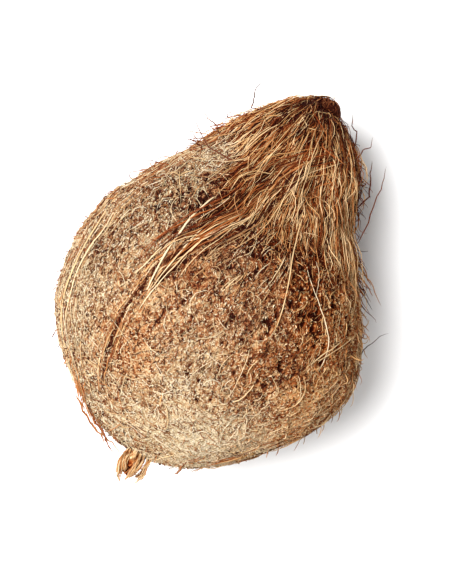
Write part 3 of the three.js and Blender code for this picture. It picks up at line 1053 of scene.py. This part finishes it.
def nib_strip(number, route, half_width):
    mesh, share, turn = ball_mesh(f"nib_strip_{number}", STRIP_COLUMNS, STRIP_ROWS)
    line, side, outward = strip_frame(route, share)
    ring = np.stack([np.cos(turn), np.sin(turn), share], axis=-1)
    ridges = 1 + 0.3 * noise(ring * STRIP_RIDGES, number)
    shape = np.interp(share, *STRIP_TAPER) * ridges
    wide = half_width * MM * shape * np.sin(turn)
    thick = STRIP_THICKNESS * shape * np.cos(turn)
    points = line + side * wide[:, None] + outward * thick[:, None]
    inside = smooth_step(-np.cos(turn), -0.2, 0.5)
    streaks = noise(ring * STRIP_STREAKS, STREAK_SEED + number)
    # Painted shade: each strip is darker on its face toward the hollow.
    tone = NIB_TONE + 0.3 * streaks + NIB_INSIDE_SHADE * inside
    matted_piece(mesh, points, tone, NIB_GREYNESS + 0.5 * streaks)


def nib_hollow():
    mesh, share, turn = ball_mesh("nib_hollow", *HOLLOW_MESH)
    ball = ball_point(share, turn)
    rough = 1 + grain(ball, HOLLOW_GRAIN)
    deep = smooth_step(share, 0.5, 0.82)
    # Painted light and shade: the hollow is darker toward its deep middle and lighter on its
    # bumps.
    tone = HOLLOW_TONE + HOLLOW_DEEP_SHADE * deep + 1.2 * (rough - 1)
    matted_piece(mesh, HOLLOW_PLACE + HOLLOW_SIZE * ball * rough[:, None], tone, 0)


def nib_frays():
    points = []
    for route, half_width in NIB_STRIPS:
        for _ in range(FRAYS_PER_STRIP):
            shifts = random.normal(0, 0.5, (4, 3)) * np.linspace(0.2, 1.6, 4)[:, None]
            at = np.linspace(random.uniform(0.1, 0.5), random.uniform(0.8, 1), FRAY_STEPS)
            line, side, outward = strip_frame(np.array(route) + shifts, at)
            beside = half_width * MM * random.uniform(-0.95, 0.95)
            proud = STRIP_THICKNESS * random.uniform(-1.1, 1.3)
            points.append(line + side * beside + outward * proud)
    points = place(np.array(points), STRAND_CLEARANCE)
    count = len(points)
    widths = strand_widths(0.09, 0.18, count, FRAY_STEPS)
    tone = random.normal(0.66, 0.2, (count, 1))
    strand_piece("nib_frays", points, widths, tone, random.normal(0.25, 0.2, (count, 1)))


def peels():
    strands = []
    for route in PEELS:
        curve = curve_through(route, 12)
        for _ in range(PEEL_STRANDS):
            at = np.linspace(random.uniform(0, 0.45), random.uniform(0.7, 1), PEEL_STEPS)
            along, degrees, lift = points_on(curve, at)
            share = share_at(along * MM)
            shift = random.normal(0, 1.3)
            beside = (shift + random.normal(0, 1.2) * np.linspace(0, 1, PEEL_STEPS)) * MM
            angle = np.radians(degrees) + turn_by(beside, share, 6)
            strands.append((share, angle, lift * random.uniform(0.3, 1.3) * MM))
    shares, angles, lifts = (np.array(values) for values in zip(*strands))
    count = len(strands)
    widths = strand_widths(0.11, 0.2, count, PEEL_STEPS)
    tone = random.normal(0.55, 0.14, (count, 1))
    greyness = random.normal(0.1, 0.2, (count, 1))
    lay_strands("peeling_strips", shares, angles, lifts + PEEL_LIFT, widths, tone, greyness)


for number, strip in enumerate(NIB_STRIPS, 1):
    nib_strip(number, *strip)
nib_hollow()
nib_frays()
peels()

# ---- The stalk scar -------------------------------------------------------------------------
# The rounded scar at the tip, where the stalk came away. It is nearly black, with a hollow in
# its upper side, and dark broken fibre is combed over it from the tip down.
SCAR_GRAIN = [(1 / 2.2, 0.07, 21), (1 / 5, 0.05, 22)]  # on a ball of radius 1
SCAR_MESH = (96, 64)  # columns and rows
SCAR_TONE = -0.2
SCAR_GREYNESS = 0.9
SCAR_HOLLOW = np.array([-0.35, 0.05, 0.93])
SCAR_HOLLOW_DEPTH = 0.4  # as a share of the scar's radius
CAP_FIBRES = 200
CAP_STEPS = 6
CAP_GREYNESS = 0.6


def scar():
    mesh, share, turn = ball_mesh("stalk_scar", *SCAR_MESH)
    ball = ball_point(share, turn)
    rough = 1 + grain(ball, SCAR_GRAIN)
    dent = np.exp(-((ball - SCAR_HOLLOW) ** 2).sum(axis=1) / 0.2)
    size = SCAR_RADIUS * (rough - SCAR_HOLLOW_DEPTH * dent)
    # Painted light and shade: the scar is lighter where it bulges and painted darker in its
    # hollow.
    tone = SCAR_TONE + 0.8 * (rough - 1) - 0.5 * dent
    matted_piece(mesh, SCAR_PLACE + ball * size[:, None], tone, SCAR_GREYNESS)


def cap_fibres():
    count = CAP_FIBRES
    at = np.linspace(0, 1, CAP_STEPS)
    start = random.uniform(0.04, 0.4, (count, 1))
    share = start + random.uniform(0.12, 0.3, (count, 1)) * at
    turn = random.uniform(-math.pi, math.pi, (count, 1))
    turn = turn + wander(count, CAP_STEPS, 0.3) / np.maximum(np.sin(math.pi * share), 0.3)
    lifts = random.uniform(0.1, 0.6, (count, 1)) * np.sin(math.pi * at) ** 0.6
    reach = SCAR_RADIUS + lifts * MM
    points = place(SCAR_PLACE + ball_point(share, turn) * reach[:, :, None], STRAND_CLEARANCE)
    widths = strand_widths(0.09, 0.17, count, CAP_STEPS)
    tone = random.normal(0.14, 0.17, (count, 1))
    strand_piece("cap_fibres", points, widths, tone, CAP_GREYNESS)


scar()
cap_fibres()

# ---- Stray hairs ------------------------------------------------------------------------------
# Single coir fibres that stand off the nut all round it and curl, most of them on the tuft. Each
# is rooted in the skin. The longest ones are bent one by one, off the tuft, a flank and the base.
STRAYS = [  # where, from and to; how many; lengths in mm, rise from the skin in degrees; tone
    ("over the tuft", (95, 148), (-180, 180), 110, (8, 20), (8, 32), 0.55),
    ("beside the tuft", (92, 140), (-112, -76), 70, (7, 22), (8, 55), 0.2),
    ("beside the neck", (118, 148), (-112, -76), 36, (4, 13), (20, 60), 0.1),
    ("upper flank", (100, 142), (62, 108), 50, (5, 16), (12, 55), 0.2),
    ("belly", (8, 100), (-180, 180), 170, (2.5, 8), (15, 60), 0.6),
    ("right of the belly", (24, 92), (-106, -66), 84, (3, 10), (15, 60), 0.65),
    ("left of the belly", (12, 104), (72, 112), 120, (3, 8), (20, 60), 0.28),
    ("base", (2, 16), (-180, 180), 24, (4, 10), (10, 40), 0.4),
]
STRAY_STEPS = 9
STRAY_SUNK = 0.4
STRAY_DROOP = 0.35
STRAY_CURL = 0.06
STRAY_WAVES = (4, 9)  # how far round a curl goes along the hair, in radians
HAIRS = [  # single hairs: the route from the root as (along, across, up) in mm; radius, tone
    ([(137, 23, 0), (141, 24, 2), (145, 25, 3), (149, 24, 4)], 0.312, 0.1),
    ([(112, 13, 34), (111, 20, 33), (112, 27, 28), (115, 32, 18), (120, 37, 8),
      (125, 43, 6)], 0.286, 0.15),
    ([(120, 28, 16), (125, 32, 5), (126, 36, 4), (128, 39, 3)], 0.273, 0.25),
    ([(111, 32, 21), (113, 33, 16), (117, 37, 6), (119, 40, 4)], 0.26, 0.25),
    ([(106, -36, 12), (116, -37, 4), (124, -36, 2), (132, -35, 2), (137, -34, 3),
      (142, -33, 3)], 0.286, 0.2),
    ([(117, -29, 14), (124, -31, 5), (129, -32, 3), (134, -30, 3), (138, -28, 3),
      (142, -27, 3)], 0.338, 0.1),
    ([(130, -20, 17), (136, -21, 10), (142, -22, 2), (144, -22, 2), (146, -24, 3),
      (150, -23, 3)], 0.312, 0.2),
    ([(136, -19, 14), (142, -19, 4), (148, -17, 2), (150, -14, 3), (154, -12, 3)], 0.286, 0.15),
    ([(105, -35, 16), (104, -40, 4), (101, -45, 2), (98, -50, 3), (93, -56, 3)], 0.312, 0.5),
    ([(102, -39, 8), (104, -42, 3), (101, -46, 2), (98, -49, 2)], 0.26, 0.4),
    ([(85, -48, 0), (86, -50, 3), (87, -53, 4)], 0.26, 0.7),
    ([(76, -54, 0), (79, -52, 3), (82, -53, 4), (85, -55, 4), (86, -53, 3)], 0.286, 0.75),
    ([(67, -56, -2), (71, -57, 0), (78, -59, 2), (86, -63, 2)], 0.234, 0.05),
    ([(58, -59, 0), (62, -59, 3), (65, -59, 4), (62, -61, 4)], 0.26, 0.5),
    ([(50, 56, 20), (55, 55, 23), (60, 55, 25), (65, 56, 22), (70, 57, 16)], 0.26, 0.4),
    ([(70, 57, 16), (74, 56, 17), (79, 56, 9), (85, 57, 3)], 0.286, 0.3),
    ([(10, 31, 0), (6, 26, 1), (2, 20, 2), (0, 15, 2), (-3, 12, 2)], 0.52, 0.4),
    ([(8, 26, 0), (4, 20, 1), (0, 13, 2), (-4, 9, 2)], 0.442, 0.3),
    ([(4, 21, 0), (2, 16, 0), (0, 13, 1), (-1, 8, 1), (-3, 6, 1)], 0.39, 0.5),
    ([(1, 16, 0), (-1, 12, 1), (-3, 9, 1), (-5, 7, 1)], 0.286, 0.3),
    ([(17, -36, 7), (13, -30, 7), (9, -26, 3), (4, -22, 2)], 0.312, 0.6),
    ([(6, -18, 9), (4, -17, 5), (2, -17, 3), (0, -16, 3)], 0.65, 0.4),
]
HAIR_STEPS = 12
HAIR_GREYNESS = 0.6
HAIR_KINK = 0.25 * MM


def stray_hairs():
    rows = []
    for _, alongs, degrees, count, lengths, rises, tone in STRAYS:
        for _ in range(count):
            rows.append((
                random.uniform(*alongs), random.uniform(*degrees), random.uniform(*lengths),
                random.uniform(*rises), random.normal(tone, 0.12),
            ))
    along, degrees, length, rise, tone = np.array(rows).T[:, :, None]
    count = len(rows)
    at = np.linspace(0, 1, STRAY_STEPS)
    rise = np.radians(rise)
    forward = length * MM * at * np.cos(rise)
    heading = random.normal(0, 0.6, (count, 1)) + random.normal(0, 0.6, (count, 1)) * at
    shares = share_at(along * MM) + forward * np.cos(heading) / outline_length
    shares = np.clip(shares, 0.01, 0.99)
    angles = np.radians(degrees) + turn_by(forward * np.sin(heading), shares, 10)
    curl = random.normal(0, STRAY_CURL, (count, 1))
    curl = curl * np.sin(at * random.uniform(*STRAY_WAVES, (count, 1)))
    lifts = length * (np.sin(rise) * (at - STRAY_DROOP * at**2) + curl * at) - STRAY_SUNK
    radii = strand_widths(0.14, 0.26, count, STRAY_STEPS)
    greyness = random.normal(0.3, 0.2, (count, 1))
    lay_strands("stray_hairs", shares, angles, lifts * MM, radii, tone, greyness)


def single_hairs():
    routes, radii, tones = zip(*HAIRS)
    at = np.linspace(0, 1, HAIR_STEPS)
    points = [points_on(curve_through(np.array(route) * MM, 10), at).T for route in routes]
    points = place(np.array(points) + random.normal(0, HAIR_KINK, (len(HAIRS), HAIR_STEPS, 3)))
    widths = np.array(radii)[:, None] * MM * taper(HAIR_STEPS)
    strand_piece("single_hairs", points, widths, np.array(tones)[:, None], HAIR_GREYNESS)


stray_hairs()
single_hairs()

# ---- The studio -----------------------------------------------------------------------------
# A white table under a broad soft light, with a weaker one low at the foot of the view, and the
# camera looking straight down. The nut's axis leans to the right from straight up in the view.
VIEW_HEIGHT = 218.5 * MM  # what the camera sees from top to bottom, at the nut's axis
CAMERA_DISTANCE = 1.3
CAMERA_ALONG = 72 * MM  # the camera looks at the axis this far from the base
SENSOR = 36
LEAN = math.radians(27.9)
FLOOR_SIZE = 8
FLOOR_COLOUR = (0.9, 0.9, 0.9, 1)
LIT_HEIGHT = 0.06  # the lights aim at a point this high above the table
SKY_STRENGTH = 0.4


def studio_floor():
    sheet = bmesh.new()
    bmesh.ops.create_grid(sheet, x_segments=1, y_segments=1, size=FLOOR_SIZE / 2)
    mesh = bpy.data.meshes.new("floor")
    sheet.to_mesh(mesh)
    sheet.free()
    floor = new_object("floor", mesh)
    paper = bpy.data.materials.new("white_paper")
    paper.use_nodes = True
    surface = paper.node_tree.nodes["Principled BSDF"]
    surface.inputs["Base Color"].default_value = FLOOR_COLOUR
    surface.inputs["Roughness"].default_value = 0.9
    floor.data.materials.append(paper)
    floor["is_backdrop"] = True


def light(name, direction, distance, size, power):
    lamp = bpy.data.lights.new(name, "AREA")
    lamp.shape = "DISK"
    lamp.size = size
    lamp.energy = power
    lit = new_object(name, lamp)
    towards = direction / np.linalg.norm(direction)
    lit.location = towards * distance + np.array([0, 0, LIT_HEIGHT])
    lit.rotation_euler = (0, math.acos(towards[2]), math.atan2(towards[1], towards[0]))


view_up = np.array([math.cos(LEAN), math.sin(LEAN), 0])
view_right = np.array([math.sin(LEAN), -math.cos(LEAN), 0])
upright = np.array([0, 0, 1])

studio_floor()
light("key", -0.38 * view_right + 0.13 * view_up + upright, distance=1.5, size=1, power=62)
light("low", -0.4 * view_right - view_up + 0.8 * upright, distance=1.8, size=1, power=10)

world = bpy.data.worlds.new("studio")
world.use_nodes = True
sky = world.node_tree.nodes["Background"]
sky.inputs["Color"].default_value = (1, 1, 1, 1)
sky.inputs["Strength"].default_value = SKY_STRENGTH
bpy.context.scene.world = world
bpy.context.scene.view_settings.view_transform = "Standard"

middle = place(np.array([[CAMERA_ALONG, 0, 0]]))[0]
lens = bpy.data.cameras.new("camera")
lens.sensor_width = SENSOR
lens.lens = SENSOR * CAMERA_DISTANCE / VIEW_HEIGHT
camera = new_object("camera", lens)
camera.location = middle + CAMERA_DISTANCE * upright
camera.rotation_euler = (0, 0, LEAN - math.pi / 2)
bpy.context.scene.camera = camera

bpy.data.objects.remove(section_object)
